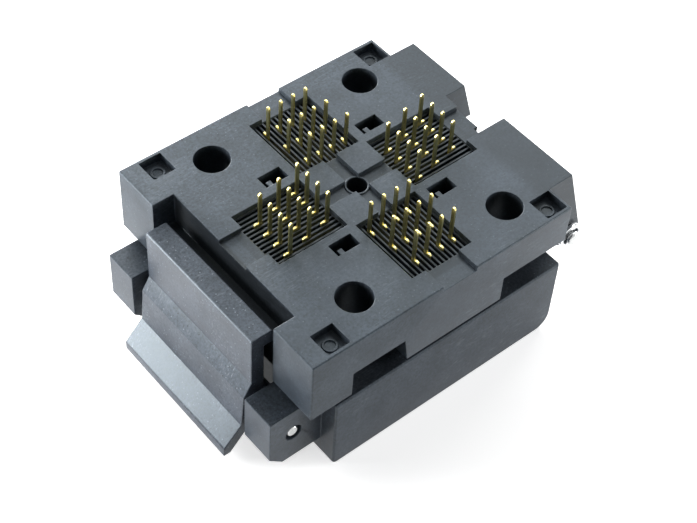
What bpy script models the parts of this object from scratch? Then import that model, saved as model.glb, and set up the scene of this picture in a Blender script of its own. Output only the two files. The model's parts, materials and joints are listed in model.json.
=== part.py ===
"""Clamshell test socket for a 48-lead quad flat package, standing upside down on its lid.

X runs from the latch end to the hinge end, Z points up, and the solder tails stand on top.
The origin lies on the outer face of the lid, under the centre of the contact pattern.
"""

import math

import bmesh
import bpy
from mathutils import Matrix, Vector

MM = 0.001

# Fits
GAP = 0.3 * MM
HOOK_GAP = 0.35 * MM
SLOT_CLEARANCE = 0.05 * MM
OVERSHOOT = 1.0 * MM
FACE_OVERRUN = 0.1 * MM

# Contact pattern
PITCH = 0.5 * MM
CONTACTS_PER_SIDE = 12
ROW_COUNT = 3
ROW_PITCH = 2.54 * MM
FIRST_ROW = 5.08 * MM

# Contacts
BLADE_THICKNESS = 0.2 * MM
TAIL_HEIGHT = 3.5 * MM
TAIL_WIDTH = 0.42 * MM
TAIL_POINT = 0.2 * MM
SHOULDER_LENGTH = 0.4 * MM
SHOULDER_NOTCH = 0.1 * MM
SHOULDER_DEPTH = 0.3 * MM
BAR_DEPTH = 1.2 * MM
BAR_HEIGHT = 1.0 * MM
FINGER_WIDTH = 0.36 * MM
FINGER_REACH = 0.85 * MM

# Base housing
BASE_HEIGHT = 7.6 * MM
BASE_HALF_WIDTH = 14.65 * MM
BASE_LATCH_END = 17.0 * MM
BASE_HINGE_END = 14.05 * MM
BASE_EDGE = 0.1 * MM
FIELD_INNER = 4.1 * MM
FIELD_OUTER_MARGIN = 1.2 * MM
FIELD_RECESS = 0.6 * MM
FIELD_END_WALL = 0.18 * MM
TRENCH_DEPTH = 1.6 * MM
CHANNEL_DEPTH = 0.5 * MM
CHANNEL_HALF_WIDTH = 2.0 * MM
CROSS_HALF_WIDTH = 0.8 * MM
CENTRE_HOLE_RADIUS = 1.0 * MM
CENTRE_RIM = 0.2 * MM
CENTRE_RIM_HEIGHT = 0.15 * MM
MOUNT_HOLE_RADIUS = 1.8 * MM
MOUNT_SPACING_X = 18.2 * MM
MOUNT_SPACING_Y = 21.2 * MM
FLANGE_THICKNESS = 4.5 * MM
HEAD_POCKET_HALF = 3.15 * MM
HEAD_POCKET_DRAFT = 0.5 * MM
CORE_LENGTH = 2.5 * MM
CORE_WIDTH = 2.6 * MM
CORE_DEPTH = 1.0 * MM
CORE_SIDE_MARGIN = 1.7 * MM
CORE_HINGE_MARGIN = 1.55 * MM
CORE_LATCH_MARGIN = 3.25 * MM
CORE_RING_RADIUS = 0.75 * MM
CORE_RING_WALL = 0.22 * MM
CORE_RING_HEIGHT = 0.15 * MM
WINDOW_LENGTH = 2.55 * MM
WINDOW_WIDTH = 1.5 * MM
WINDOW_CENTRE_X = 5.92 * MM
WINDOW_CENTRE_Y = 5.3 * MM
WINDOW_DEPTH = 3.4 * MM
WINDOW_RIB_START = 0.35 * MM
WINDOW_RIB_WIDTH = 0.55 * MM
WINDOW_RIB_REACH = 0.7 * MM
WINDOW_RIB_DEPTH = 0.15 * MM

# Package nest on the parting face
NEST_HALF = 5.6 * MM
NEST_LEAD_IN = 0.7 * MM
NEST_FLOOR = 4.4 * MM
NEST_FLARE_DEPTH = 1.6 * MM
PEDESTAL_HALF = 3.0 * MM
PEDESTAL_HEIGHT = 0.5 * MM

# Latch notch and catch ledge
NOTCH_HALF_WIDTH = 9.1 * MM
NOTCH_LENGTH = 2.4 * MM
LEDGE_LENGTH = 1.25 * MM

# Lid
LID_HEIGHT = 9.2 * MM
PARTING_GAP = 0.5 * MM
LID_LATCH_END = 14.0 * MM
LID_LATCH_ROUND = 0.5 * MM
LID_HINGE_ROUND = 1.8 * MM
LID_EDGE = 0.15 * MM
EAR_REACH = 6.0 * MM
EAR_WIDTH = 3.8 * MM
EAR_HEIGHT = 7.0 * MM
EAR_CHAMFER = 1.5 * MM

# Latch lever
LEVER_HALF_WIDTH = 8.05 * MM
LEVER_SIDE_GAP = 0.81 * MM
LEVER_TOP_DEPTH = 1.78 * MM
HOOK_HEIGHT = 1.6 * MM
HOOK_LENGTH = 0.95 * MM
SHANK_THICKNESS = 1.44 * MM
SHANK_STEP = 0.86 * MM
SHANK_STEP_HEIGHT = 1.5 * MM
SHANK_STEP_RISE = 2.0 * MM
LEVER_BOSS_RADIUS = 1.55 * MM
TAB_SPREAD = 1.88 * MM
TAB_DROP = 1.98 * MM
TAB_THICKNESS = 1.25 * MM
LATCH_PIN_RADIUS = 0.6 * MM
LATCH_PIN_SETBACK = 3.25 * MM
LATCH_PIN_HEIGHT = 5.9 * MM
LATCH_PIN_RECESS = 0.1 * MM

# Hinge
HINGE_PIN_RADIUS = 0.75 * MM
HINGE_SETBACK = 3.95 * MM
HINGE_DROP = 0.75 * MM
KNUCKLE_RADIUS = 1.7 * MM
LUG_LENGTH = 3.0 * MM
LUG_OUTER = 11.6 * MM
LUG_ARM_WIDTH = 3.4 * MM
LUG_COVER_DEPTH = 5.2 * MM
NEAR_LUG_INNER = 1.9 * MM
FAR_LUG_INNER = 3.75 * MM
HINGE_RUNNING_GAP = 0.35 * MM
LID_KNUCKLE_ROOT = 2.0 * MM
END_RIB_LENGTH = 0.45 * MM
END_RIB_START = 1.0 * MM
E_RING_RADIUS = 1.42 * MM
E_RING_THICKNESS = 0.4 * MM
E_RING_GROOVE_DEPTH = 0.27 * MM
E_RING_TURN = 60
E_RING_MOUTH = 40
E_RING_RELIEF = (60, 120)
E_RING_PRONG_TAPER = 10
PIN_TIP = 0.4 * MM

# Springs
HINGE_WIRE_RADIUS = 0.25 * MM
HINGE_COIL_TURNS = 6
HINGE_LEG_LENGTH = 8.0 * MM
LATCH_WIRE_RADIUS = 0.18 * MM
LATCH_COIL_TURNS = 5
LATCH_COIL_HALF_WIDTH = 1.5 * MM
SPRING_SEGMENTS = 12
WIRE_SIDES = 6

# Pressure pad in the lid
PAD_HALF = 7.5 * MM
PAD_PLATE = 1.8 * MM
PAD_RIM_WALL = 1.2 * MM

# Round segments
HOLE_SEGMENTS = 40
PIN_SEGMENTS = 24

# Worked-out places
BASE_BOTTOM = LID_HEIGHT + PARTING_GAP
BASE_TOP = BASE_BOTTOM + BASE_HEIGHT
LAST_ROW = FIRST_ROW + (ROW_COUNT - 1) * ROW_PITCH
SHOULDER_END = TAIL_WIDTH / 2 + SHOULDER_NOTCH + SHOULDER_LENGTH
FIELD_OUTER = LAST_ROW + SHOULDER_END + FIELD_OUTER_MARGIN
SLOT_WIDTH = BLADE_THICKNESS + 2 * SLOT_CLEARANCE
SLOT_DEPTH = BAR_DEPTH + BAR_HEIGHT + GAP
FIELD_HALF = (CONTACTS_PER_SIDE + 1) / 2 * PITCH + SLOT_WIDTH / 2 + FIELD_END_WALL
FINGER_INNER = FIELD_INNER + SLOT_CLEARANCE * 2
FINGER_SPAN = 2 * FINGER_WIDTH
NEST_CEILING = BASE_TOP - NEST_FLOOR
CONTACT_TIP = NEST_CEILING - FINGER_REACH

LATCH_X = -(LID_LATCH_END + LATCH_PIN_SETBACK)
LEVER_TOP = BASE_TOP - LEVER_TOP_DEPTH
HOOK_BOTTOM = LEVER_TOP - HOOK_HEIGHT
LEDGE_FACE_X = -BASE_LATCH_END + NOTCH_LENGTH - LEDGE_LENGTH
HOOK_TIP_X = LEDGE_FACE_X - HOOK_GAP
SHANK_INNER_X = HOOK_TIP_X - HOOK_LENGTH
SHANK_OUTER_X = SHANK_INNER_X - SHANK_THICKNESS
LOWER_OUTER_X = SHANK_OUTER_X - SHANK_STEP
EAR_INNER = LEVER_HALF_WIDTH + LEVER_SIDE_GAP
EAR_OUTER = EAR_INNER + EAR_WIDTH

HINGE_X = BASE_HINGE_END + HINGE_SETBACK
HINGE_Z = LID_HEIGHT - HINGE_DROP
ARM_INNER = LUG_OUTER - LUG_ARM_WIDTH
COIL_LOW_Y = -NEAR_LUG_INNER + GAP
COIL_HIGH_Y = FAR_LUG_INNER - GAP


def link_mesh(name, builder):
    """Turn a bmesh into a linked object with faces that point out."""
    bmesh.ops.recalc_face_normals(builder, faces=builder.faces)
    mesh = bpy.data.meshes.new(name)
    builder.to_mesh(mesh)
    builder.free()
    item = bpy.data.objects.new(name, mesh)
    bpy.context.collection.objects.link(item)
    return item


def add_prism(builder, outline, low, high, axis):
    """Extrude a closed outline along one axis: Y takes (x, z), Z takes (x, y)."""
    order = {"Y": (0, 2, 1), "Z": (0, 1, 2)}[axis]
    corners = []
    for first, second in outline:
        values = (first, second, low)
        corners.append(builder.verts.new([values[index] for index in order]))
    face = builder.faces.new(corners)
    result = bmesh.ops.extrude_face_region(builder, geom=[face])
    moved = [item for item in result["geom"] if isinstance(item, bmesh.types.BMVert)]
    direction = {"Y": Vector((0, 1, 0)), "Z": Vector((0, 0, 1))}[axis]
    bmesh.ops.translate(builder, verts=moved, vec=direction * (high - low))


def add_block(builder, x_range, y_range, z_range):
    """Add a straight block between two corners."""
    size = Vector((x_range[1] - x_range[0], y_range[1] - y_range[0], z_range[1] - z_range[0]))
    centre = Vector((sum(x_range) / 2, sum(y_range) / 2, sum(z_range) / 2))
    bmesh.ops.create_cube(builder, size=1, matrix=Matrix.Translation(centre) @ Matrix.Diagonal(size.to_4d()))


def add_cylinder(builder, centre, radius, length, axis="Z", segments=HOLE_SEGMENTS):
    """Add a round bar centred on a point."""
    turn = {
        "Z": Matrix.Identity(4),
        "Y": Matrix.Rotation(math.radians(90), 4, "X"),
    }[axis]
    bmesh.ops.create_cone(
        builder, cap_ends=True, segments=segments, radius1=radius, radius2=radius, depth=length,
        matrix=Matrix.Translation(centre) @ turn,
    )


def arc(centre_x, centre_z, radius, start, end, steps):
    """Points on an arc, with its angles in degrees."""
    points = []
    for step in range(steps + 1):
        angle = math.radians(start + (end - start) * step / steps)
        points.append((centre_x + radius * math.cos(angle), centre_z + radius * math.sin(angle)))
    return points


def rectangle(low_a, high_a, low_b, high_b):
    """Corners of a rectangle."""
    return [(low_a, low_b), (high_a, low_b), (high_a, high_b), (low_a, high_b)]


def chamfered_bar(builder, x_range, y_range, z_range, edge):
    """Add a block with a small chamfer on every edge."""
    add_block(builder, x_range, y_range, z_range)
    bmesh.ops.bevel(builder, geom=builder.edges[:], offset=edge, segments=1, affect="EDGES")


def combine(body, tool, operation):
    """Join or cut a body with a tool and bake the result."""
    modifier = body.modifiers.new("combine", "BOOLEAN")
    modifier.operation = operation
    modifier.solver = "EXACT"
    modifier.object = tool
    depsgraph = bpy.context.evaluated_depsgraph_get()
    baked = bpy.data.meshes.new_from_object(body.evaluated_get(depsgraph))
    body.modifiers.clear()
    body.data = baked
    bpy.data.objects.remove(tool)


def tool_from(name, fill):
    """Build a tool object with a function that fills a bmesh."""
    builder = bmesh.new()
    fill(builder)
    return link_mesh(name, builder)


def give_material(item, name, colour, roughness, metallic):
    """Give an object its own Principled material."""
    material = bpy.data.materials.new(name)
    material.use_nodes = True
    shader = material.node_tree.nodes["Principled BSDF"]
    shader.inputs["Base Color"].default_value = (*colour, 1)
    shader.inputs["Roughness"].default_value = roughness
    shader.inputs["Metallic"].default_value = metallic
    item.data.materials.clear()
    item.data.materials.append(material)


def side_turns():
    """The four sides of the contact pattern as turns about Z."""
    return [Matrix.Rotation(math.radians(90 * side), 4, "Z") for side in range(4)]


def add_turned(builder, fill):
    """Add four turned copies of what a function fills in."""
    for turn in side_turns():
        part = bmesh.new()
        fill(part)
        part.transform(turn)
        scratch = bpy.data.meshes.new("turned")
        part.to_mesh(scratch)
        part.free()
        builder.from_mesh(scratch)
        bpy.data.meshes.remove(scratch)


def contact_outline(row_radius):
    """Section of a stamped contact: radius from the centre, then height."""
    tail_top = BASE_TOP + TAIL_HEIGHT
    tail_low = row_radius - TAIL_WIDTH / 2
    tail_high = row_radius + TAIL_WIDTH / 2
    shoulder_low = tail_high + SHOULDER_NOTCH
    shoulder_high = row_radius + SHOULDER_END
    shoulder_top = BASE_TOP - SHOULDER_DEPTH
    bar_top = BASE_TOP - BAR_DEPTH
    bar_bottom = bar_top - BAR_HEIGHT
    finger_inner = FINGER_INNER + FINGER_WIDTH / 2
    finger_outer = finger_inner + FINGER_WIDTH
    tip_round = FINGER_WIDTH / 2
    outline = [
        (row_radius - TAIL_WIDTH / 4, tail_top),
        (row_radius + TAIL_WIDTH / 4, tail_top),
        (tail_high, tail_top - TAIL_POINT),
        (tail_high, shoulder_top - SHOULDER_NOTCH),
        (shoulder_low, shoulder_top - SHOULDER_NOTCH),
        (shoulder_low, shoulder_top),
        (shoulder_high - SHOULDER_NOTCH, shoulder_top),
        (shoulder_high, shoulder_top - SHOULDER_NOTCH),
        (shoulder_high, bar_bottom),
        (finger_outer + tip_round, bar_bottom),
        (finger_outer, bar_bottom - tip_round),
    ]
    outline += arc(finger_outer - FINGER_WIDTH, CONTACT_TIP + FINGER_WIDTH, FINGER_WIDTH, 0, -120, 4)
    outline += [
        (finger_inner - FINGER_WIDTH / 2, CONTACT_TIP + FINGER_WIDTH / 2),
        (finger_inner, CONTACT_TIP + FINGER_WIDTH),
        (finger_inner, bar_bottom - tip_round),
        (FINGER_INNER, bar_bottom),
        (FINGER_INNER, bar_top),
        (tail_low, bar_top),
        (tail_low, tail_top - TAIL_POINT),
    ]
    return outline


def make_contacts():
    """Forty-eight stamped contacts in four turned fields, their tails stepped over three rows."""
    blanks = []
    for row in range(ROW_COUNT):
        builder = bmesh.new()
        outline = contact_outline(FIRST_ROW + row * ROW_PITCH)
        add_prism(builder, outline, -BLADE_THICKNESS / 2, BLADE_THICKNESS / 2, "Y")
        blank = link_mesh("contact_blank", builder)
        give_material(blank, "gold_plated_contact", (0.75, 0.55, 0.22), 0.3, 1.0)
        blanks.append(blank)
    contacts = []
    number = 0
    for turn in side_turns():
        for place in range(CONTACTS_PER_SIDE):
            number += 1
            sideways = (place - (CONTACTS_PER_SIDE - 1) / 2) * PITCH
            contact = bpy.data.objects.new(f"contact_{number:02d}", blanks[place % ROW_COUNT].data)
            contact.matrix_world = turn @ Matrix.Translation((0, sideways, 0))
            bpy.context.collection.objects.link(contact)
            contacts.append(contact)
    for blank in blanks:
        bpy.data.objects.remove(blank)
    return contacts


def fill_slots(builder):
    """Slots of one field: one for each contact, open to the nest, and a blind trench at each end."""
    top = BASE_TOP + OVERSHOOT
    bottom = BASE_TOP - SLOT_DEPTH
    inner = FIELD_INNER + SLOT_CLEARANCE
    outer = FIELD_OUTER - SLOT_CLEARANCE
    through_end = FINGER_INNER + FINGER_SPAN + GAP
    through = [
        (inner, top), (outer, top), (outer, bottom), (through_end, bottom),
        (through_end, NEST_CEILING - GAP), (inner, NEST_CEILING - GAP),
    ]
    trench = rectangle(inner, outer, BASE_TOP - TRENCH_DEPTH, top)
    for place in range(-1, CONTACTS_PER_SIDE + 1):
        sideways = (place - (CONTACTS_PER_SIDE - 1) / 2) * PITCH
        blind = place in (-1, CONTACTS_PER_SIDE)
        outline = trench if blind else through
        add_prism(builder, outline, sideways - SLOT_WIDTH / 2, sideways + SLOT_WIDTH / 2, "Y")


def fill_field_recess(builder):
    """The shallow pocket that a contact field lies in."""
    top = BASE_TOP + OVERSHOOT
    add_block(builder, (FIELD_INNER, FIELD_OUTER), (-FIELD_HALF, FIELD_HALF), (BASE_TOP - FIELD_RECESS, top))


def fill_outer_channel(builder):
    """The wide shallow channel from a contact field to the edge of the body."""
    reach = BASE_LATCH_END + OVERSHOOT
    start = FIELD_OUTER - OVERSHOOT
    depth = BASE_TOP - CHANNEL_DEPTH
    width = CHANNEL_HALF_WIDTH
    add_block(builder, (start, reach), (-width, width), (depth, BASE_TOP + OVERSHOOT))


def fill_cross(builder):
    """The narrow cross channel between the four pads round the centre hole."""
    reach = FIELD_INNER + OVERSHOOT
    width = CROSS_HALF_WIDTH
    outline = [
        (-reach, -width), (-width, -width), (-width, -reach), (width, -reach),
        (width, -width), (reach, -width), (reach, width), (width, width),
        (width, reach), (-width, reach), (-width, width), (-reach, width),
    ]
    add_prism(builder, outline, BASE_TOP - CHANNEL_DEPTH, BASE_TOP + OVERSHOOT, "Z")


def core_centres():
    """Centres of the four square cores at the corners of the body."""
    side = BASE_HALF_WIDTH - CORE_SIDE_MARGIN
    ends = (BASE_HINGE_END - CORE_HINGE_MARGIN, -BASE_LATCH_END + CORE_LATCH_MARGIN)
    return [(x, y) for x in ends for y in (-side, side)]


def mount_centres():
    """Centres of the four mounting holes."""
    return [(x, y) for x in (-MOUNT_SPACING_X / 2, MOUNT_SPACING_X / 2)
            for y in (-MOUNT_SPACING_Y / 2, MOUNT_SPACING_Y / 2)]


def fill_cores(builder):
    """Square cores in the underside."""
    for x, y in core_centres():
        x_range = (x - CORE_LENGTH / 2, x + CORE_LENGTH / 2)
        y_range = (y - CORE_WIDTH / 2, y + CORE_WIDTH / 2)
        add_block(builder, x_range, y_range, (BASE_TOP - CORE_DEPTH, BASE_TOP + OVERSHOOT))


def fill_windows(builder):
    """Small oblong windows beside the fields, each with a short rib left on its front side."""
    for side_x in (-1, 1):
        for side_y in (-1, 1):
            left = side_x * WINDOW_CENTRE_X - WINDOW_LENGTH / 2
            right = left + WINDOW_LENGTH
            front = side_y * WINDOW_CENTRE_Y - WINDOW_WIDTH / 2
            back = front + WINDOW_WIDTH
            rib_left = left + WINDOW_RIB_START
            rib_right = rib_left + WINDOW_RIB_WIDTH
            rib_back = front + WINDOW_RIB_REACH
            outline = [
                (left, front), (rib_left, front), (rib_left, rib_back), (rib_right, rib_back),
                (rib_right, front), (right, front), (right, back), (left, back),
            ]
            add_prism(builder, outline, BASE_TOP - WINDOW_DEPTH, BASE_TOP + OVERSHOOT, "Z")


def fill_window_mouths(builder):
    """The shallow cut above each window rib."""
    for side_x in (-1, 1):
        for side_y in (-1, 1):
            left = side_x * WINDOW_CENTRE_X - WINDOW_LENGTH / 2
            front = side_y * WINDOW_CENTRE_Y - WINDOW_WIDTH / 2
            x_range = (left, left + WINDOW_LENGTH)
            y_range = (front, front + WINDOW_WIDTH)
            add_block(builder, x_range, y_range, (BASE_TOP - WINDOW_RIB_DEPTH, BASE_TOP + OVERSHOOT))


def fill_mount_holes(builder):
    """Mounting holes and the centre hole."""
    middle = (BASE_BOTTOM + BASE_TOP) / 2
    for x, y in mount_centres():
        add_cylinder(builder, (x, y, middle), MOUNT_HOLE_RADIUS, 2 * BASE_HEIGHT)
    add_cylinder(builder, (0, 0, middle), CENTRE_HOLE_RADIUS, 2 * BASE_HEIGHT)


def fill_head_pockets(builder):
    """Pockets for the screw heads under the mounting flange, open to the sides and the hinge end."""
    ceiling = BASE_TOP - FLANGE_THICKNESS
    floor = BASE_BOTTOM - OVERSHOOT
    hole_x = MOUNT_SPACING_X / 2
    inner_y = MOUNT_SPACING_Y / 2 - HEAD_POCKET_HALF
    outer_y = BASE_HALF_WIDTH + OVERSHOOT
    depth = BASE_HEIGHT - FLANGE_THICKNESS
    draft = HEAD_POCKET_DRAFT * (depth + OVERSHOOT) / depth
    latch_side = [
        (-hole_x - HEAD_POCKET_HALF, ceiling),
        (-hole_x - HEAD_POCKET_HALF, floor),
        (-hole_x + HEAD_POCKET_HALF - HEAD_POCKET_DRAFT / 2 + draft, floor),
        (-hole_x + HEAD_POCKET_HALF - HEAD_POCKET_DRAFT / 2, ceiling),
    ]
    hinge_side = rectangle(hole_x - HEAD_POCKET_HALF, BASE_HINGE_END + FACE_OVERRUN, floor, ceiling)
    for outline in (latch_side, hinge_side):
        add_prism(builder, outline, inner_y, outer_y, "Y")
        add_prism(builder, outline, -outer_y, -inner_y, "Y")


def fill_nest(builder):
    """The nest for the package: a square cavity with a flared lead-in round a low pedestal."""
    flare_top = BASE_BOTTOM + NEST_FLARE_DEPTH
    flare = NEST_HALF + NEST_LEAD_IN
    levels = [
        (flare, BASE_BOTTOM - OVERSHOOT), (flare, BASE_BOTTOM),
        (NEST_HALF, flare_top), (NEST_HALF, NEST_CEILING),
        (PEDESTAL_HALF, NEST_CEILING), (PEDESTAL_HALF, NEST_CEILING - PEDESTAL_HEIGHT),
    ]
    rings = []
    for half, height in levels:
        corners = rectangle(-half, half, -half, half)
        rings.append([builder.verts.new((x, y, height)) for x, y in corners])
    for low, high in zip(rings, rings[1:]):
        for index in range(4):
            after = (index + 1) % 4
            builder.faces.new((low[index], low[after], high[after], high[index]))
    builder.faces.new(rings[0])
    builder.faces.new(rings[-1])


def fill_notch(builder):
    """The latch notch in the end face, with the catch ledge left in it."""
    outer = -BASE_LATCH_END - OVERSHOOT
    inner = -BASE_LATCH_END + NOTCH_LENGTH
    ledge_top = HOOK_BOTTOM - GAP
    outline = [
        (outer, BASE_TOP + OVERSHOOT), (inner, BASE_TOP + OVERSHOOT), (inner, ledge_top),
        (LEDGE_FACE_X, ledge_top), (LEDGE_FACE_X, BASE_BOTTOM - OVERSHOOT),
        (outer, BASE_BOTTOM - OVERSHOOT),
    ]
    add_prism(builder, outline, -NOTCH_HALF_WIDTH, NOTCH_HALF_WIDTH, "Y")


def lug_slope():
    """Angle at which the sloped end of a lug meets its knuckle."""
    run = HINGE_X - BASE_HINGE_END - LUG_LENGTH
    rise = BASE_TOP - HINGE_Z
    return math.degrees(math.atan2(run, rise) + math.asin(KNUCKLE_RADIUS / math.hypot(run, rise)))


def fill_lugs(builder):
    """The two lugs, each drawn as a side profile with a knuckle round the hinge pin."""
    tilt = lug_slope()
    root = BASE_HINGE_END - GAP
    outline = [(root, BASE_TOP), (BASE_HINGE_END + LUG_LENGTH, BASE_TOP)]
    outline += arc(HINGE_X, HINGE_Z, KNUCKLE_RADIUS, tilt, -180, 14)
    outline += [
        (HINGE_X - KNUCKLE_RADIUS, BASE_TOP - LUG_COVER_DEPTH),
        (root, BASE_TOP - LUG_COVER_DEPTH),
    ]
    add_prism(builder, outline, -LUG_OUTER, -NEAR_LUG_INNER, "Y")
    add_prism(builder, outline, FAR_LUG_INNER, LUG_OUTER, "Y")


def fill_end_rib(builder):
    """The thin rib on the end wall between the lugs."""
    x_range = (BASE_HINGE_END - GAP, BASE_HINGE_END + END_RIB_LENGTH)
    y_range = (-END_RIB_START, FAR_LUG_INNER + GAP)
    add_block(builder, x_range, y_range, (BASE_TOP - FLANGE_THICKNESS, BASE_TOP))


def fill_knuckle_room(builder):
    """The room under the inner parts of the lugs, where the knuckles of the lid turn."""
    x_range = (BASE_HINGE_END, HINGE_X + 2 * KNUCKLE_RADIUS)
    z_range = (HINGE_Z - 2 * KNUCKLE_RADIUS, BASE_TOP - LUG_COVER_DEPTH + GAP)
    add_block(builder, x_range, (-ARM_INNER, ARM_INNER), z_range)


def fill_hinge_bore(builder):
    """The bore for the hinge pin."""
    add_cylinder(builder, (HINGE_X, 0, HINGE_Z), HINGE_PIN_RADIUS + GAP, 3 * LUG_OUTER, "Y", PIN_SEGMENTS)


def fill_base_leg_groove(builder):
    """The groove in the parting face for the upper leg of the hinge spring."""
    radius = coil_radius(HINGE_PIN_RADIUS, HINGE_WIRE_RADIUS)
    ceiling = HINGE_Z + radius + HINGE_WIRE_RADIUS + GAP
    y = COIL_HIGH_Y - HINGE_WIRE_RADIUS
    half = HINGE_WIRE_RADIUS + GAP
    x_range = (HINGE_X - HINGE_LEG_LENGTH - GAP, BASE_HINGE_END + OVERSHOOT)
    add_block(builder, x_range, (y - half, y + half), (BASE_BOTTOM - OVERSHOOT, ceiling))


def fill_core_rings(builder):
    """Raised rings on the floors of the square cores."""
    height = CORE_RING_HEIGHT + GAP
    for x, y in core_centres():
        centre = (x, y, BASE_TOP - CORE_DEPTH - GAP)
        add_tube(builder, centre, CORE_RING_RADIUS - CORE_RING_WALL, CORE_RING_RADIUS, height)


def fill_centre_rim(builder):
    """The low boss that the centre hole is bored in."""
    foot = BASE_TOP - CHANNEL_DEPTH - GAP
    height = CENTRE_RIM_HEIGHT + GAP
    add_cylinder(builder, (0, 0, foot + height / 2), CENTRE_HOLE_RADIUS + CENTRE_RIM, height)


def add_tube(builder, foot, inner, outer, height, segments=24):
    """Add a short upright tube on a foot point."""
    rings = []
    for radius, lift in ((inner, 0), (outer, 0), (outer, height), (inner, height)):
        points = arc(foot[0], foot[1], radius, 0, 360, segments)[:-1]
        rings.append([builder.verts.new((x, y, foot[2] + lift)) for x, y in points])
    for index, ring in enumerate(rings):
        following = rings[(index + 1) % 4]
        for corner in range(segments):
            after = (corner + 1) % segments
            builder.faces.new((ring[corner], ring[after], following[after], following[corner]))


def make_base_housing():
    """The moulded base: body, lugs, contact fields, nest, notch and cores."""
    builder = bmesh.new()
    length = (-BASE_LATCH_END, BASE_HINGE_END)
    width = (-BASE_HALF_WIDTH, BASE_HALF_WIDTH)
    chamfered_bar(builder, length, width, (BASE_BOTTOM, BASE_TOP), BASE_EDGE)
    base = link_mesh("base_housing", builder)
    combine(base, tool_from("lugs", fill_lugs), "UNION")
    combine(base, tool_from("end_rib", fill_end_rib), "UNION")
    for fill in (fill_knuckle_room, fill_head_pockets, fill_notch, fill_nest, fill_cross):
        combine(base, tool_from("cutter", fill), "DIFFERENCE")
    combine(base, tool_from("centre_rim", fill_centre_rim), "UNION")
    combine(base, tool_from("cutter", fill_mount_holes), "DIFFERENCE")
    for fill in (fill_outer_channel, fill_field_recess, fill_slots):
        cutter = tool_from("cutter", lambda builder, fill=fill: add_turned(builder, fill))
        combine(base, cutter, "DIFFERENCE")
    for fill in (fill_cores, fill_windows, fill_window_mouths, fill_hinge_bore, fill_base_leg_groove):
        combine(base, tool_from("cutter", fill), "DIFFERENCE")
    combine(base, tool_from("core_rings", fill_core_rings), "UNION")
    give_material(base, "base_moulding", (0.05, 0.06, 0.075), 0.5, 0.0)
    return base


def fill_lid_body(builder):
    """The lid block as a side profile with rounded outer edges."""
    outline = [(-LID_LATCH_END, LID_HEIGHT)]
    outline += arc(-LID_LATCH_END + LID_LATCH_ROUND, LID_LATCH_ROUND, LID_LATCH_ROUND, 180, 270, 4)
    outline += arc(BASE_HINGE_END - LID_HINGE_ROUND, LID_HINGE_ROUND, LID_HINGE_ROUND, 270, 360, 8)
    outline += [(BASE_HINGE_END, LID_HEIGHT)]
    add_prism(builder, outline, -BASE_HALF_WIDTH, BASE_HALF_WIDTH, "Y")
    bmesh.ops.recalc_face_normals(builder, faces=builder.faces)
    ends = [face for face in builder.faces if abs(face.normal.y) > 0.9]
    edges = {edge for face in ends for edge in face.edges}
    bmesh.ops.bevel(builder, geom=list(edges), offset=LID_EDGE, segments=1, affect="EDGES")


def fill_ears(builder):
    """The two ears that carry the latch pin."""
    outer = -LID_LATCH_END - EAR_REACH
    bottom = LID_HEIGHT - EAR_HEIGHT
    outline = [
        (-LID_LATCH_END + GAP, LID_HEIGHT), (outer, LID_HEIGHT), (outer, bottom + EAR_CHAMFER),
        (outer + EAR_CHAMFER, bottom), (-LID_LATCH_END + GAP, bottom),
    ]
    add_prism(builder, outline, -EAR_OUTER, -EAR_INNER, "Y")
    add_prism(builder, outline, EAR_INNER, EAR_OUTER, "Y")


def lid_knuckle_spans():
    """Where the knuckles of the lid lie along the pin."""
    near = (-ARM_INNER + HINGE_RUNNING_GAP, -NEAR_LUG_INNER - HINGE_RUNNING_GAP)
    far = (FAR_LUG_INNER + HINGE_RUNNING_GAP, ARM_INNER - HINGE_RUNNING_GAP)
    return (near, far)


def fill_lid_knuckles(builder):
    """The knuckles of the lid on their arms."""
    root = BASE_HINGE_END - GAP
    arm_top = LID_HEIGHT - LID_EDGE
    rise = math.degrees(math.asin((arm_top - HINGE_Z) / KNUCKLE_RADIUS))
    outline = [(root, arm_top)]
    outline += arc(HINGE_X, HINGE_Z, KNUCKLE_RADIUS, 180 - rise, -90, 16)
    outline += [(root, HINGE_Z - KNUCKLE_RADIUS - LID_KNUCKLE_ROOT)]
    for low, high in lid_knuckle_spans():
        add_prism(builder, outline, low, high, "Y")


def fill_latch_bore(builder):
    """Bores in the ears for the latch pin."""
    centre = (LATCH_X, 0, LATCH_PIN_HEIGHT)
    add_cylinder(builder, centre, LATCH_PIN_RADIUS + GAP, 3 * EAR_OUTER, "Y", PIN_SEGMENTS)


def fill_pad_pocket(builder):
    """The pocket that holds the plate of the pressure pad."""
    half = PAD_HALF + GAP
    depth = LID_HEIGHT - PAD_PLATE - GAP
    add_block(builder, (-half, half), (-half, half), (depth, LID_HEIGHT + OVERSHOOT))


def fill_lid_leg_groove(builder):
    """The groove in the lid for the lower leg of the hinge spring."""
    radius = coil_radius(HINGE_PIN_RADIUS, HINGE_WIRE_RADIUS)
    floor = HINGE_Z - radius - HINGE_WIRE_RADIUS - GAP
    y = COIL_LOW_Y + HINGE_WIRE_RADIUS
    half = HINGE_WIRE_RADIUS + GAP
    x_range = (HINGE_X - HINGE_LEG_LENGTH - GAP, BASE_HINGE_END + OVERSHOOT)
    add_block(builder, x_range, (y - half, y + half), (floor, LID_HEIGHT + OVERSHOOT))


def make_lid_frame():
    """The moulded lid: block, ears, knuckles and pad pocket."""
    lid = tool_from("lid_frame", fill_lid_body)
    combine(lid, tool_from("ears", fill_ears), "UNION")
    combine(lid, tool_from("knuckles", fill_lid_knuckles), "UNION")
    for fill in (fill_latch_bore, fill_pad_pocket, fill_hinge_bore, fill_lid_leg_groove):
        combine(lid, tool_from("cutter", fill), "DIFFERENCE")
    give_material(lid, "lid_moulding", (0.045, 0.055, 0.068), 0.5, 0.0)


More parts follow.
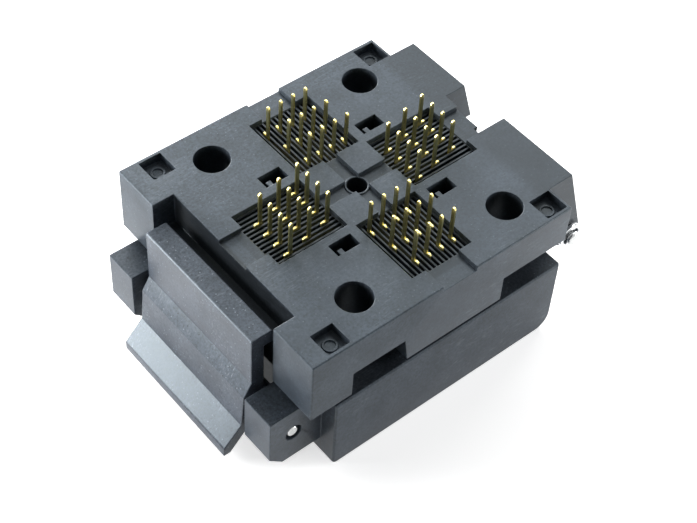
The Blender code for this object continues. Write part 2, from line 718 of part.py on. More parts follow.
def make_pressure_pad():
    """The insert that presses the package leads: a plate with a hollow square rim."""
    rim = NEST_HALF - GAP - SLOT_CLEARANCE * 2
    rim_top = CONTACT_TIP - PARTING_GAP
    plate_bottom = LID_HEIGHT - PAD_PLATE
    builder = bmesh.new()
    levels = [
        (PAD_HALF, plate_bottom), (PAD_HALF, LID_HEIGHT), (rim, LID_HEIGHT), (rim, rim_top),
        (rim - PAD_RIM_WALL, rim_top), (rim - PAD_RIM_WALL, LID_HEIGHT + GAP),
    ]
    rings = []
    for half, height in levels:
        rings.append([builder.verts.new((x, y, height)) for x, y in rectangle(-half, half, -half, half)])
    for low, high in zip(rings, rings[1:]):
        for index in range(4):
            after = (index + 1) % 4
            builder.faces.new((low[index], low[after], high[after], high[index]))
    builder.faces.new(rings[0])
    builder.faces.new(rings[-1])
    pad = link_mesh("pressure_pad", builder)
    give_material(pad, "pad_moulding", (0.06, 0.065, 0.07), 0.55, 0.0)


def lever_outline():
    """Side profile of the latch lever: hook, shank, stepped face, finger tab and boss."""
    knee_top = LATCH_PIN_HEIGHT + SHANK_STEP_RISE + SHANK_STEP_HEIGHT
    knee_bottom = LATCH_PIN_HEIGHT + SHANK_STEP_RISE
    root_x = LOWER_OUTER_X - GAP
    root_z = LATCH_PIN_HEIGHT - SHANK_STEP_RISE
    tip_x = root_x - TAB_SPREAD
    tip_z = root_z - TAB_DROP
    edge = LID_EDGE
    outline = [
        (SHANK_OUTER_X + edge, LEVER_TOP),
        (HOOK_TIP_X - edge, LEVER_TOP),
        (HOOK_TIP_X, LEVER_TOP - edge),
        (HOOK_TIP_X, HOOK_BOTTOM),
        (SHANK_INNER_X, HOOK_BOTTOM),
    ]
    shank_angle = math.degrees(math.acos((SHANK_INNER_X - LATCH_X) / LEVER_BOSS_RADIUS))
    outline += arc(LATCH_X, LATCH_PIN_HEIGHT, LEVER_BOSS_RADIUS, shank_angle, -80, 10)
    outline += [
        (LATCH_X - LEVER_BOSS_RADIUS, root_z - LEVER_BOSS_RADIUS / 2),
        (tip_x + TAB_THICKNESS / 2, tip_z - TAB_THICKNESS),
        (tip_x - edge, tip_z - TAB_THICKNESS),
        (tip_x - edge, tip_z - edge),
        (tip_x, tip_z),
        (root_x, root_z),
        (LOWER_OUTER_X, knee_bottom),
        (SHANK_OUTER_X, knee_top),
        (SHANK_OUTER_X, LEVER_TOP - edge),
    ]
    return outline


def fill_lever_cuts(builder):
    """The bore of the lever and the cut-out for its spring."""
    half = LATCH_COIL_HALF_WIDTH + GAP
    reach = coil_radius(LATCH_PIN_RADIUS, LATCH_WIRE_RADIUS) + LATCH_WIRE_RADIUS + GAP
    x_range = (LATCH_X - reach, LATCH_X + LEVER_BOSS_RADIUS + OVERSHOOT)
    z_range = (LATCH_PIN_HEIGHT - LEVER_BOSS_RADIUS - OVERSHOOT / 2, LATCH_PIN_HEIGHT + reach)
    add_block(builder, x_range, (-half, half), z_range)


def make_latch_lever():
    """The latch lever as an extruded profile with its bore and spring cut-out."""
    builder = bmesh.new()
    add_prism(builder, lever_outline(), -LEVER_HALF_WIDTH, LEVER_HALF_WIDTH, "Y")
    lever = link_mesh("latch_lever", builder)
    combine(lever, tool_from("cutter", fill_latch_bore), "DIFFERENCE")
    combine(lever, tool_from("cutter", fill_lever_cuts), "DIFFERENCE")
    give_material(lever, "lever_moulding", (0.065, 0.07, 0.085), 0.42, 0.0)
    return lever


def coil_radius(pin_radius, wire_radius):
    """Mean radius of a coil that runs free on a pin."""
    return pin_radius + GAP + wire_radius


def sweep_wire(name, path, wire_radius):
    """A round wire along a path of points, with closed ends."""
    builder = bmesh.new()
    rings = []
    normal = None
    for index, point in enumerate(path):
        before = path[max(index - 1, 0)]
        after = path[min(index + 1, len(path) - 1)]
        direction = (after - before).normalized()
        if normal is None:
            normal = direction.orthogonal().normalized()
        normal = (normal - direction * normal.dot(direction)).normalized()
        across = direction.cross(normal)
        ring = []
        for corner in range(WIRE_SIDES):
            angle = 2 * math.pi * corner / WIRE_SIDES
            offset = normal * math.cos(angle) + across * math.sin(angle)
            ring.append(builder.verts.new(point + offset * wire_radius))
        rings.append(ring)
    for ring, following in zip(rings, rings[1:]):
        for corner in range(WIRE_SIDES):
            after = (corner + 1) % WIRE_SIDES
            builder.faces.new((ring[corner], ring[after], following[after], following[corner]))
    builder.faces.new(rings[0])
    builder.faces.new(rings[-1])
    return link_mesh(name, builder)


def coil_path(centre_x, centre_z, radius, y_range, turns, start, end_turn):
    """Points of a coil about a Y axis, from a start angle in degrees through whole turns and a rest."""
    total = turns * 360 + end_turn
    steps = round(SPRING_SEGMENTS * total / 360)
    points = []
    for step in range(steps + 1):
        share = step / steps
        angle = math.radians(start + total * share)
        y = y_range[0] + (y_range[1] - y_range[0]) * share
        points.append(Vector((centre_x + radius * math.cos(angle), y, centre_z + radius * math.sin(angle))))
    return points


def make_hinge_spring():
    """The torsion spring in the gap between the lugs, its legs along base and lid."""
    radius = coil_radius(HINGE_PIN_RADIUS, HINGE_WIRE_RADIUS)
    low = COIL_LOW_Y + HINGE_WIRE_RADIUS
    high = COIL_HIGH_Y - HINGE_WIRE_RADIUS
    coil = coil_path(HINGE_X, HINGE_Z, radius, (low, high), HINGE_COIL_TURNS, -90, 180)
    lid_leg = Vector((HINGE_X - HINGE_LEG_LENGTH, low, HINGE_Z - radius))
    base_leg = Vector((HINGE_X - HINGE_LEG_LENGTH, high, HINGE_Z + radius))
    spring = sweep_wire("hinge_spring", [lid_leg] + coil + [base_leg], HINGE_WIRE_RADIUS)
    give_material(spring, "hinge_spring_steel", (0.6, 0.6, 0.62), 0.3, 1.0)
    return spring


def make_latch_spring():
    """The torsion spring on the latch pin, one leg down the lever and one against the lid."""
    radius = coil_radius(LATCH_PIN_RADIUS, LATCH_WIRE_RADIUS)
    half = LATCH_COIL_HALF_WIDTH - LATCH_WIRE_RADIUS
    coil = coil_path(LATCH_X, LATCH_PIN_HEIGHT, radius, (-half, half), LATCH_COIL_TURNS, 180, 180)
    lever_leg = Vector((LATCH_X - radius, -half, LATCH_PIN_HEIGHT - LEVER_BOSS_RADIUS))
    lid_leg = Vector((-LID_LATCH_END - HINGE_RUNNING_GAP - LATCH_WIRE_RADIUS, half,
                      LATCH_PIN_HEIGHT - LEVER_BOSS_RADIUS))
    spring = sweep_wire("latch_spring", [lever_leg] + coil + [lid_leg], LATCH_WIRE_RADIUS)
    give_material(spring, "latch_spring_steel", (0.6, 0.6, 0.62), 0.3, 1.0)
    return spring


def make_pin(name, centre_x, centre_z, stations):
    """A turned pin along Y from stations of (y, radius)."""
    builder = bmesh.new()
    rings = []
    for y, ring_radius in stations:
        points = arc(centre_x, centre_z, ring_radius, 0, 360, PIN_SEGMENTS)[:-1]
        rings.append([builder.verts.new((x, y, z)) for x, z in points])
    for ring, following in zip(rings, rings[1:]):
        for corner in range(PIN_SEGMENTS):
            after = (corner + 1) % PIN_SEGMENTS
            builder.faces.new((ring[corner], ring[after], following[after], following[corner]))
    builder.faces.new(rings[0])
    builder.faces.new(rings[-1])
    pin = link_mesh(name, builder)
    give_material(pin, name + "_steel", (0.72, 0.72, 0.74), 0.25, 1.0)
    return pin


def ring_stations(side):
    """Where the groove of an E-ring and the pin end lie on one side."""
    start = LUG_OUTER + GAP / 2
    groove_end = start + E_RING_THICKNESS + GAP
    tip = groove_end + PIN_TIP
    groove_radius = HINGE_PIN_RADIUS - E_RING_GROOVE_DEPTH
    chamfer = HINGE_PIN_RADIUS - SHOULDER_NOTCH
    stations = [
        (start, HINGE_PIN_RADIUS), (start, groove_radius), (groove_end, groove_radius),
        (groove_end, HINGE_PIN_RADIUS), (tip - SHOULDER_NOTCH, HINGE_PIN_RADIUS), (tip, chamfer),
    ]
    return [(side * y, radius) for y, radius in stations]


def make_hinge_pin():
    """The hinge pin with its two ring grooves."""
    stations = list(reversed(ring_stations(-1))) + ring_stations(1)
    return make_pin("hinge_pin", HINGE_X, HINGE_Z, stations)


def make_latch_pin():
    """The plain latch pin, its ends just inside the ears."""
    end = EAR_OUTER - LATCH_PIN_RECESS
    chamfer = LATCH_PIN_RADIUS - SHOULDER_NOTCH
    stations = [
        (-end, chamfer), (-end + SHOULDER_NOTCH, LATCH_PIN_RADIUS),
        (end - SHOULDER_NOTCH, LATCH_PIN_RADIUS), (end, chamfer),
    ]
    make_pin("latch_pin", LATCH_X, LATCH_PIN_HEIGHT, stations)


def e_ring_outline():
    """Outline of an E-ring: an open ring with three inner prongs."""
    grip = HINGE_PIN_RADIUS - E_RING_GROOVE_DEPTH + SLOT_CLEARANCE * 2
    relief = (grip + E_RING_RADIUS) / 2
    mouth = E_RING_MOUTH
    start, end = E_RING_RELIEF
    taper = E_RING_PRONG_TAPER
    outline = arc(0, 0, E_RING_RADIUS, mouth, 360 - mouth, 20)
    outline += arc(0, 0, grip, 360 - mouth, 360 - start + taper, 1)
    outline += arc(0, 0, relief, 360 - start, 360 - end, 5)
    outline += arc(0, 0, grip, 360 - end - taper, end + taper, 5)
    outline += arc(0, 0, relief, end, start, 5)
    outline += arc(0, 0, grip, start - taper, mouth, 1)
    return outline


def make_e_ring(name, side):
    """An E-ring in its groove on one end of the hinge pin."""
    builder = bmesh.new()
    inner = LUG_OUTER + GAP
    low, high = sorted((side * inner, side * (inner + E_RING_THICKNESS)))
    add_prism(builder, e_ring_outline(), low, high, "Y")
    turn = Matrix.Rotation(math.radians(E_RING_TURN), 4, "Y")
    builder.transform(Matrix.Translation((HINGE_X, 0, HINGE_Z)) @ turn)
    ring = link_mesh(name, builder)
    give_material(ring, name + "_steel", (0.8, 0.8, 0.82), 0.2, 1.0)
    return ring


def hang_on_axis(name, place, pieces):
    """Parent moving pieces to an empty that lies on their joint axis."""
    axis = bpy.data.objects.new(name, None)
    axis.matrix_world = Matrix.Translation(place)
    bpy.context.collection.objects.link(axis)
    for piece in pieces:
        piece.parent = axis
        piece.matrix_parent_inverse = axis.matrix_world.inverted()


def main():
    """Clear the scene and make every piece."""
    for item in list(bpy.data.objects):
        bpy.data.objects.remove(item)
    make_lid_frame()
    make_pressure_pad()
    make_latch_pin()
    swinging = [make_base_housing(), make_hinge_pin(), make_hinge_spring()]
    swinging += [make_e_ring("e_ring_front", -1), make_e_ring("e_ring_back", 1)]
    swinging += make_contacts()
    hang_on_axis("hinge_axis", (HINGE_X, 0, HINGE_Z), swinging)
    hang_on_axis("latch_axis", (LATCH_X, 0, LATCH_PIN_HEIGHT), [make_latch_lever(), make_latch_spring()])


main()
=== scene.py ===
"""Looks of a clamshell test socket for a 48-lead quad flat package, on its lid with its solder tails up."""

import json
import math

import bpy
from mathutils import Matrix, Vector

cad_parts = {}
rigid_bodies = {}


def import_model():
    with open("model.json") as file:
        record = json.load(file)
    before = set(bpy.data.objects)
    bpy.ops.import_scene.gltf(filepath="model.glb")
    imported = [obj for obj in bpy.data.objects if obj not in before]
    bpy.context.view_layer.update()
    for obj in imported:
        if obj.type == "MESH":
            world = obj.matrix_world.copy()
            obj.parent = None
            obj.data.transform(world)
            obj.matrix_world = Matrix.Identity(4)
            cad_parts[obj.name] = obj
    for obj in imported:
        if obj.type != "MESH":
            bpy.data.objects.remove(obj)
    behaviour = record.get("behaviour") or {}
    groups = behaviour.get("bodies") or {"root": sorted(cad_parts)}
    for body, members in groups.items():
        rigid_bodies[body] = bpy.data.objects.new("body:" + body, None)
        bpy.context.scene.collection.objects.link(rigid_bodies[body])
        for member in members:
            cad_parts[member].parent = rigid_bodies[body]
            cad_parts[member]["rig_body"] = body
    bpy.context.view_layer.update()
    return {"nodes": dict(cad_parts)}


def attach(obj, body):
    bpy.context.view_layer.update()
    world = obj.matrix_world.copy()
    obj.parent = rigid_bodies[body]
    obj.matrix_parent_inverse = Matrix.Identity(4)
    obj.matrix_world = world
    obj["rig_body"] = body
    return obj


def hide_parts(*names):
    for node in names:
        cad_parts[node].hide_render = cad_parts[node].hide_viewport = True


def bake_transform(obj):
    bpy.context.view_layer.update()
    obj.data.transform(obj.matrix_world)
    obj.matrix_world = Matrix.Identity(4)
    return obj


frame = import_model()
node = frame["nodes"]

MM = 0.001


# Base housing.
# The body that stands on the board: glass-filled polyetherimide, injection moulded in a spark-eroded tool.
# The short fibres show as fine pale flecks, and the eroded tool leaves an even satin grain.

BASE_EDGE = 0.05 * MM
WELD = 0.002 * MM
COPLANAR = math.radians(1)
SHARP = math.radians(25)
SMOOTH = math.radians(12)

# Boxes in mm that see little light, where the colour is darkened as painted shade: the floor of the contact
# fields, the hinge lugs, the latch notch.
CONTACT_FIELDS = ((-13, -13, 9), (13, 13, 16.85))
HINGE_LUGS = ((12.6, -13, 9), (20, 13, 18))
LATCH_NOTCH = ((-16.3, -8.9, 9), (-14.2, 8.9, 17.1))


def add_object(name, data):
    """A new object at the origin, linked to the scene."""
    item = bpy.data.objects.new(name, data)
    bpy.context.scene.collection.objects.link(item)
    return item


def merged_copy(name, weld=WELD):
    """A copy of a CAD node with its loose triangles joined, left in edit mode with all selected."""
    piece = add_object(name + "_finished", node[name].data.copy())
    bpy.ops.object.select_all(action="DESELECT")
    piece.select_set(True)
    bpy.context.view_layer.objects.active = piece
    bpy.ops.mesh.customdata_custom_splitnormals_clear()
    bpy.ops.object.mode_set(mode="EDIT")
    bpy.ops.mesh.select_all(action="SELECT")
    bpy.ops.mesh.remove_doubles(threshold=weld)
    return piece


def stand_for(piece, name, material):
    """Give a finished piece its only material, and let it stand for its CAD node."""
    piece.data.materials.clear()
    piece.data.materials.append(material)
    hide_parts(name)


def finish(name, material, edge, steps=2, weld=WELD):
    """A copy of a CAD node with its flat faces merged and its edges broken."""
    piece = merged_copy(name, weld)
    bpy.ops.mesh.dissolve_limited(angle_limit=COPLANAR)
    bpy.ops.mesh.quads_convert_to_tris(ngon_method="BEAUTY")
    bpy.ops.object.mode_set(mode="OBJECT")
    bevel = piece.modifiers.new("broken_edges", "BEVEL")
    bevel.width = edge
    bevel.segments = steps
    bevel.limit_method = "ANGLE"
    bevel.angle_limit = SHARP
    bevel.use_clamp_overlap = False
    bpy.ops.object.modifier_apply(modifier="broken_edges")
    bpy.ops.object.shade_smooth_by_angle(angle=SMOOTH)
    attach(piece, node[name]["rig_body"])
    stand_for(piece, name, material)
    return piece


def linear(code):
    """An sRGB hex colour as the linear colour that a shader takes."""
    parts = [int(code[place:place + 2], 16) / 255 for place in (1, 3, 5)]
    return tuple(c / 12.92 if c <= 0.04045 else ((c + 0.055) / 1.055) ** 2.4 for c in parts) + (1.0,)


def put(tree, kind, inputs=None, **settings):
    """Add a node with its settings. An input is a value or the socket that feeds it."""
    item = tree.nodes.new(kind)
    for key, value in settings.items():
        setattr(item, key, value)
    for place, value in (inputs or {}).items():
        if isinstance(value, bpy.types.NodeSocket):
            tree.links.new(value, item.inputs[place])
        else:
            item.inputs[place].default_value = value
    return item


def new_material(name):
    """An empty material with its node tree and its shader."""
    material = bpy.data.materials.new(name)
    material.use_nodes = True
    return material, material.node_tree, material.node_tree.nodes["Principled BSDF"]


def place_in_mm(tree):
    """The place on a piece in mm, so that a pattern's scale is its count per mm."""
    place = put(tree, "ShaderNodeTexCoord").outputs["Object"]
    scaled = put(tree, "ShaderNodeMapping", {"Vector": place, "Scale": (1 / MM, 1 / MM, 1 / MM)})
    return scaled.outputs["Vector"]


def glass_filled_moulding(name, shade, fleck, wear_and_highlight_colour, gloss, grain, flecking=0.6, edge_wear_and_highlight_share=0.15):
    """A moulded, glass-filled polymer: clouded shade, fibre flecks, scuffs, edges paler by wear and painted
    highlight, eroded grain.
    """
    material, tree, shader = new_material(name)
    in_mm = place_in_mm(tree)

    # Clouds of 3 mm where the melt flowed, and a finer grain of 0.3 mm from the fibres.
    clouds = put(tree, "ShaderNodeTexNoise", {
        "Vector": in_mm, "Scale": 0.33, "Detail": 3.0, "Roughness": 0.55})
    fibres = put(tree, "ShaderNodeTexNoise", {
        "Vector": in_mm, "Scale": 3.6, "Detail": 3.0, "Roughness": 0.7})
    cloudy = put(tree, "ShaderNodeMapRange", {
        "Value": clouds.outputs["Fac"], "From Min": 0.3, "From Max": 0.7, "To Min": 0.76, "To Max": 1.24})
    grainy = put(tree, "ShaderNodeMapRange", {
        "Value": fibres.outputs["Fac"], "From Min": 0.3, "From Max": 0.7, "To Min": 0.52, "To Max": 1.48})
    both = put(tree, "ShaderNodeMath", {0: cloudy.outputs[0], 1: grainy.outputs[0]}, operation="MULTIPLY")
    tinted = put(tree, "ShaderNodeVectorMath", {
        0: linear(shade)[:3], "Scale": both.outputs[0]}, operation="SCALE")

    # About half of the cells of 0.4 mm hold a fibre end of 0.12 mm.
    cells = put(tree, "ShaderNodeTexVoronoi", {"Vector": in_mm, "Scale": 2.5, "Randomness": 1.0})
    spot = put(tree, "ShaderNodeMapRange", {
        "Value": cells.outputs["Distance"],
        "From Min": 0.11, "From Max": 0.19, "To Min": 1.0, "To Max": 0.0})
    few = put(tree, "ShaderNodeMapRange", {
        "Value": cells.outputs["Color"],
        "From Min": 0.42, "From Max": 0.66, "To Min": 0.0, "To Max": flecking})
    flecks = put(tree, "ShaderNodeMath", {0: spot.outputs[0], 1: few.outputs[0]}, operation="MULTIPLY")
    flecked = put(tree, "ShaderNodeMix", {
        "Factor": flecks.outputs[0], "A": tinted.outputs[0], "B": linear(fleck)}, data_type="RGBA")

    # Fine scuffs of 0.15 by 1 mm lie in patches where the part slid on a bench.
    along = put(tree, "ShaderNodeMapping", {
        "Vector": in_mm, "Rotation": (0.0, 0.3, 0.6), "Scale": (1.0, 6.5, 3.0)})
    lines = put(tree, "ShaderNodeTexNoise", {"Vector": along.outputs[0], "Scale": 1.0, "Detail": 2.0})
    patches = put(tree, "ShaderNodeTexNoise", {"Vector": in_mm, "Scale": 0.16, "Detail": 2.0})
    fine = put(tree, "ShaderNodeMapRange", {
        "Value": lines.outputs["Fac"], "From Min": 0.56, "From Max": 0.72, "To Min": 0.0, "To Max": 0.32})
    local = put(tree, "ShaderNodeMapRange", {
        "Value": patches.outputs["Fac"], "From Min": 0.46, "From Max": 0.62, "To Min": 0.0, "To Max": 1.0})
    scuffs = put(tree, "ShaderNodeMath", {0: fine.outputs[0], 1: local.outputs[0]}, operation="MULTIPLY")
    scuffed = put(tree, "ShaderNodeMix", {
        "Factor": scuffs.outputs[0], "A": flecked.outputs["Result"], "B": linear(wear_and_highlight_colour)}, data_type="RGBA")

    # Handling has made the corners paler by wear, and this paler edge is also a painted edge highlight.
    rounded = put(tree, "ShaderNodeBevel", {"Radius": 0.12 * MM}, samples=4)
    flat = put(tree, "ShaderNodeNewGeometry")
    alike = put(tree, "ShaderNodeVectorMath", {
        0: rounded.outputs[0], 1: flat.outputs["Normal"]}, operation="DOT_PRODUCT")
    edge_wear_and_highlight = put(tree, "ShaderNodeMapRange", {
        "Value": alike.outputs["Value"], "From Min": 0.97, "From Max": 0.80, "To Min": 0.0, "To Max": edge_wear_and_highlight_share})
    patchy = put(tree, "ShaderNodeMath", {0: edge_wear_and_highlight.outputs[0], 1: cloudy.outputs[0]}, operation="MULTIPLY")
    finished = put(tree, "ShaderNodeMix", {
        "Factor": patchy.outputs[0], "A": scuffed.outputs["Result"], "B": linear(wear_and_highlight_colour)}, data_type="RGBA")
    tree.links.new(finished.outputs["Result"], shader.inputs["Base Color"])

    # The satin changes with the fibres, and the eroded tool left pits of 0.12 mm.
    satin = put(tree, "ShaderNodeMapRange", {
        "Value": fibres.outputs["Fac"], "From Min": 0.3, "From Max": 0.7,
        "To Min": gloss - 0.05, "To Max": gloss + 0.05})
    tree.links.new(satin.outputs[0], shader.inputs["Roughness"])
    eroded = put(tree, "ShaderNodeTexNoise", {
        "Vector": in_mm, "Scale": 8.0, "Detail": 2.0, "Roughness": 0.6})
    bump = put(tree, "ShaderNodeBump", {
        "Strength": grain, "Distance": 0.02 * MM, "Height": eroded.outputs["Fac"]})
    tree.links.new(bump.outputs[0], shader.inputs["Normal"])
    shader.inputs["Specular IOR Level"].default_value = 0.36
    shader.inputs["Specular Tint"].default_value = (0.80, 0.93, 1.0, 1.0)
    return material


def paint_shade_in_box(material, box, share, soft=0.15):
    """Paint shade into a material: bring its colour down to a share of it inside a box in mm, with a soft
    border.
    """
    tree = material.node_tree
    colour_input = tree.nodes["Principled BSDF"].inputs["Base Color"]
    colour = colour_input.links[0].from_socket
    centre = [(low + high) / 2 * MM for low, high in zip(*box)]
    half = [(high - low) / 2 * MM for low, high in zip(*box)]
    place = put(tree, "ShaderNodeTexCoord").outputs["Object"]
    off = put(tree, "ShaderNodeVectorMath", {0: place, 1: centre}, operation="SUBTRACT")
    size = put(tree, "ShaderNodeVectorMath", {0: off.outputs[0]}, operation="ABSOLUTE")
    past = put(tree, "ShaderNodeVectorMath", {0: size.outputs[0], 1: half}, operation="SUBTRACT")
    parts = put(tree, "ShaderNodeSeparateXYZ", {0: past.outputs[0]}).outputs
    level = put(tree, "ShaderNodeMath", {0: parts["X"], 1: parts["Y"]}, operation="MAXIMUM")
    far = put(tree, "ShaderNodeMath", {0: level.outputs[0], 1: parts["Z"]}, operation="MAXIMUM")
    step = put(tree, "ShaderNodeMapRange", {
        "Value": far.outputs[0],
        "From Min": -soft * MM, "From Max": soft * MM, "To Min": share, "To Max": 1.0})
    scaled = put(tree, "ShaderNodeVectorMath", {0: colour, "Scale": step.outputs[0]}, operation="SCALE")
    tree.links.new(scaled.outputs[0], colour_input)


base_moulding = glass_filled_moulding(
    "glass_filled_pei_spark_eroded", "#383f47", "#6e7881", "#737c85", gloss=0.42, grain=0.40)
# Painted shade: the colour is darkened in the contact fields, on the hinge lugs and in the latch notch.
paint_shade_in_box(base_moulding, CONTACT_FIELDS, 0.35)
paint_shade_in_box(base_moulding, HINGE_LUGS, 0.55, soft=0.5)
paint_shade_in_box(base_moulding, LATCH_NOTCH, 0.2)
finish("base_housing", base_moulding, BASE_EDGE)


# Contacts.
# Stamped from beryllium copper strip and plated with gold over nickel. The tips are painted a paler gold than
# the stems as a painted highlight.
# The tails stand in three steps, so one contact of each step is finished and copied round the pattern.

PITCH = 0.5 * MM
CONTACTS_PER_SIDE = 12
STEPS = 3
STAMPED_EDGE = 0.03 * MM

# Heights in mm where the bright tips and feet start, and where they are bright all over.
TIP_START, TIP_FULL = 20.2, 20.6
FOOT_START, FOOT_FULL = 17.3, 17.0

gold, tree, shader = new_material("gold_plated_beryllium_copper")
in_mm = place_in_mm(tree)
grain = put(tree, "ShaderNodeTexNoise", {"Vector": in_mm, "Scale": 2.0, "Detail": 3.0})
height = put(tree, "ShaderNodeSeparateXYZ", {0: in_mm}).outputs["Z"]
# Painted highlight: the tips are mixed toward a paler gold by height, and the feet, low down, get the same
# paler gold.
tip = put(tree, "ShaderNodeMapRange", {"Value": height, "From Min": TIP_START, "From Max": TIP_FULL})
foot = put(tree, "ShaderNodeMapRange", {"Value": height, "From Min": FOOT_START, "From Max": FOOT_FULL})
bright = put(tree, "ShaderNodeMath", {0: tip.outputs[0], 1: foot.outputs[0]}, operation="MAXIMUM")
stem = put(tree, "ShaderNodeMix", {
    "Factor": grain.outputs["Fac"], "A": linear("#c2be8c"), "B": linear("#8a8758")}, data_type="RGBA")
tone = put(tree, "ShaderNodeMix", {
    "Factor": bright.outputs[0], "A": stem.outputs["Result"], "B": linear("#efe196")}, data_type="RGBA")
tree.links.new(tone.outputs["Result"], shader.inputs["Base Color"])
dull = put(tree, "ShaderNodeMapRange", {"Value": grain.outputs["Fac"], "To Min": 0.21, "To Max": 0.42})
tree.links.new(dull.outputs[0], shader.inputs["Roughness"])
shader.inputs["Metallic"].default_value = 1.0

stamped = [finish(f"contact_{step + 1:02d}", gold, STAMPED_EDGE) for step in range(STEPS)]
for number in range(STEPS, 4 * CONTACTS_PER_SIDE):
    side, place_on_side = divmod(number, CONTACTS_PER_SIDE)
    step = place_on_side % STEPS
    turn = Matrix.Rotation(math.radians(90 * side), 4, "Z")
    shift = Matrix.Translation((0, (place_on_side - step) * PITCH, 0))
    mesh = stamped[step].data.copy()
    mesh.transform(turn @ shift)
    contact = add_object(f"contact_{number + 1:02d}_finished", mesh)
    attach(contact, "base")
    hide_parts(f"contact_{number + 1:02d}")


# Lid frame and pressure pad.
# The clamshell lid, moulded from the same glass-filled polymer and a shade darker, and the insert in it
# that presses the leads of the package on the contacts.

LID_EDGE = 0.08 * MM

# The wall of the lid behind the lever sees little light, so its colour is darkened there as painted shade.
WALL_BEHIND_LEVER = ((-16.5, -8.7, 1), (-13.8, 8.7, 10))

lid_moulding = glass_filled_moulding(
    "glass_filled_pei_lid", "#363c44", "#6a747d", "#6c757e", gloss=0.42, grain=0.40)
paint_shade_in_box(lid_moulding, WALL_BEHIND_LEVER, 0.2)
finish("lid_frame", lid_moulding, LID_EDGE)
pad_moulding = glass_filled_moulding(
    "glass_filled_pei_pad", "#2f343a", "#5e666e", "#60686f", gloss=0.50, grain=0.35)
finish("pressure_pad", pad_moulding, LID_EDGE)


# Latch lever.
# A hook lever with a flared finger tab, moulded in a smoother tool than the housing, so it is paler and
# glossier. It turns on the latch pin between the ears of the lid.

LEVER_EDGE = 0.09 * MM
LEVER_WELD = 0.02 * MM

lever_moulding = glass_filled_moulding(
    "glass_filled_pei_smooth", "#40464f", "#8a929c", "#a3abb5", gloss=0.32, grain=0.16, flecking=0.7, edge_wear_and_highlight_share=0.3)
finish("latch_lever", lever_moulding, LEVER_EDGE, steps=3, weld=LEVER_WELD)


# Pins and E-rings.
# Centreless-ground steel pins with turned grooves, and pressed spring-steel rings with a bright zinc plating
# that snap into the grooves of the hinge pin.

PIN_EDGE = 0.05 * MM


def drawn_steel(name, bright, dark, low, high):
    """Bright steel with fine tool lines round its length and a soft change of gloss."""
    material, tree, shader = new_material(name)
    in_mm = place_in_mm(tree)
    lines = put(tree, "ShaderNodeMapping", {"Vector": in_mm, "Scale": (0.4, 12.0, 0.4)})
    scored = put(tree, "ShaderNodeTexNoise", {"Vector": lines.outputs["Vector"], "Scale": 1.0, "Detail": 2.0})
    clouds = put(tree, "ShaderNodeTexNoise", {"Vector": in_mm, "Scale": 1.5, "Detail": 3.0})
    tone = put(tree, "ShaderNodeMix", {
        "Factor": clouds.outputs["Fac"], "A": linear(bright), "B": linear(dark)}, data_type="RGBA")
    tree.links.new(tone.outputs["Result"], shader.inputs["Base Color"])
    dull = put(tree, "ShaderNodeMapRange", {"Value": scored.outputs["Fac"], "To Min": low, "To Max": high})
    tree.links.new(dull.outputs[0], shader.inputs["Roughness"])
    shader.inputs["Metallic"].default_value = 1.0
    return material


ground_steel = drawn_steel("ground_pin_steel", "#d8d9d8", "#b4b6b6", 0.14, 0.30)
plated_steel = drawn_steel("zinc_plated_spring_steel", "#e4e6e8", "#c3c6ca", 0.12, 0.26)
finish("hinge_pin", ground_steel, PIN_EDGE)
finish("latch_pin", ground_steel, PIN_EDGE)
finish("e_ring_front", plated_steel, PIN_EDGE)
finish("e_ring_back", plated_steel, PIN_EDGE)


# Springs.
# Two torsion springs of hard-drawn wire, greyer and duller than the ground pins that they lie round.

# The body of the leg at low y, the body of the leg at high y, and where along y the coil starts and ends.
SPRING_LEGS = {
    "hinge_spring": ("lid", "base", -1.1 * MM, 2.9 * MM),
    "latch_spring": ("latch", "lid", -1.1 * MM, 1.1 * MM),
}
QUAD_LIMIT = math.radians(60)

spring_wire = drawn_steel("hard_drawn_spring_wire", "#a9abac", "#85888a", 0.22, 0.38)
for name, (low_body, high_body, low_end, high_end) in SPRING_LEGS.items():
    spring = merged_copy(name)
    bpy.ops.mesh.tris_convert_to_quads(face_threshold=QUAD_LIMIT, shape_threshold=QUAD_LIMIT)
    bpy.ops.object.mode_set(mode="OBJECT")
    rounded = spring.modifiers.new("round_wire", "SUBSURF")
    rounded.levels = 2
    bpy.ops.object.modifier_apply(modifier="round_wire")
    bpy.ops.object.shade_smooth()
    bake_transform(spring)
    stand_for(spring, name, spring_wire)


# Floor.
# A white paper sheet under the socket. It keeps the shadow, and its lift makes it white to the camera and in
# reflections without lighting the socket.

FLOOR_SIZE = 4.0
FLOOR_GAP = 0.02 * MM
FLOOR_LIFT = 0.68


def background_ray(tree):
    """1 for a ray that shows the background: from the camera, off a gloss or through glass."""
    rays = put(tree, "ShaderNodeLightPath").outputs
    direct = put(tree, "ShaderNodeMath", {
        0: rays["Is Camera Ray"], 1: rays["Is Glossy Ray"]}, operation="MAXIMUM")
    seen = put(tree, "ShaderNodeMath", {
        0: direct.outputs[0], 1: rays["Is Transmission Ray"]}, operation="MAXIMUM")
    return seen.outputs[0]


bpy.ops.object.select_all(action="DESELECT")
bpy.ops.mesh.primitive_plane_add(size=FLOOR_SIZE, location=(0, 0, -FLOOR_GAP))
floor = bpy.context.object
floor.name = "floor"
paper, tree, shader = new_material("white_paper_sheet")
shader.inputs["Base Color"].default_value = linear("#f6f6f6")
shader.inputs["Roughness"].default_value = 0.9
shader.inputs["Specular IOR Level"].default_value = 0.0
lift = put(tree, "ShaderNodeMath", {0: background_ray(tree), 1: FLOOR_LIFT}, operation="MULTIPLY")
shader.inputs["Emission Color"].default_value = (1, 1, 1, 1)
tree.links.new(lift.outputs[0], shader.inputs["Emission Strength"])
floor.data.materials.append(paper)


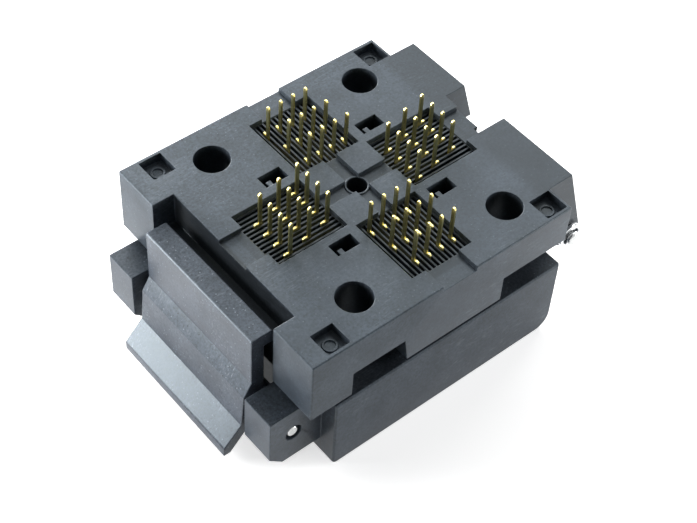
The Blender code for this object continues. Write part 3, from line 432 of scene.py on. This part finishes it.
# Light.
# Low soft boxes stand behind the socket and at its front right, a small one stands close at its left, and a
# weaker one hangs behind it. The room is white to look at and lights the socket very little.

ROOM_LEVEL = 0.02

world = bpy.data.worlds.new("white_room")
bpy.context.scene.world = world
world.use_nodes = True
tree = world.node_tree
sky = tree.nodes["Background"]
level = put(tree, "ShaderNodeMapRange", {"Value": background_ray(tree), "To Min": ROOM_LEVEL, "To Max": 1.0})
sky.inputs["Color"].default_value = (1, 1, 1, 1)
tree.links.new(level.outputs[0], sky.inputs["Strength"])


def soft_box(name, azimuth, elevation, power, width=0.2, reach=0.42):
    """A square area light that faces the socket from a distance in metres."""
    data = bpy.data.lights.new(name, "AREA")
    data.shape = "SQUARE"
    data.size = width
    data.energy = power
    lamp = add_object(name, data)
    around, up = math.radians(azimuth), math.radians(elevation)
    away = Vector((math.sin(around) * math.cos(up), -math.cos(around) * math.cos(up), math.sin(up)))
    lamp.location = reach * away
    lamp.rotation_euler = (-away).to_track_quat("-Z", "Y").to_euler()


soft_box("back_box", 165, 20, 2.6)
soft_box("upper_back_box", 180, 30, 0.65)
soft_box("left_box", 234, 14, 0.30, width=0.06, reach=0.15)
soft_box("front_box", 57, 10, 1.6, width=0.14)
soft_box("hanging_box", 120, 50, 0.6)


# Camera.
# A short telephoto from above the latch corner, placed by fitting it to points of the socket.

SENSOR_WIDTH = 36.0
LENS = 83.78
CAMERA_PLACE = (-71.19 * MM, -77.37 * MM, 128.01 * MM)
CAMERA_RIGHT = Vector((0.77164, -0.63444, 0.04540))
CAMERA_DOWN = Vector((-0.45906, -0.60489, -0.65067))
CAMERA_FORWARD = Vector((0.44027, 0.48124, -0.75800))

view = bpy.data.cameras.new("camera")
view.sensor_width = SENSOR_WIDTH
view.lens = LENS
view.clip_start = 1 * MM
camera = add_object("camera", view)
turned = Matrix((CAMERA_RIGHT, -CAMERA_DOWN, -CAMERA_FORWARD)).transposed().to_4x4()
camera.matrix_world = Matrix.Translation(CAMERA_PLACE) @ turned
bpy.context.scene.camera = camera
bpy.context.scene.view_settings.view_transform = "Standard"
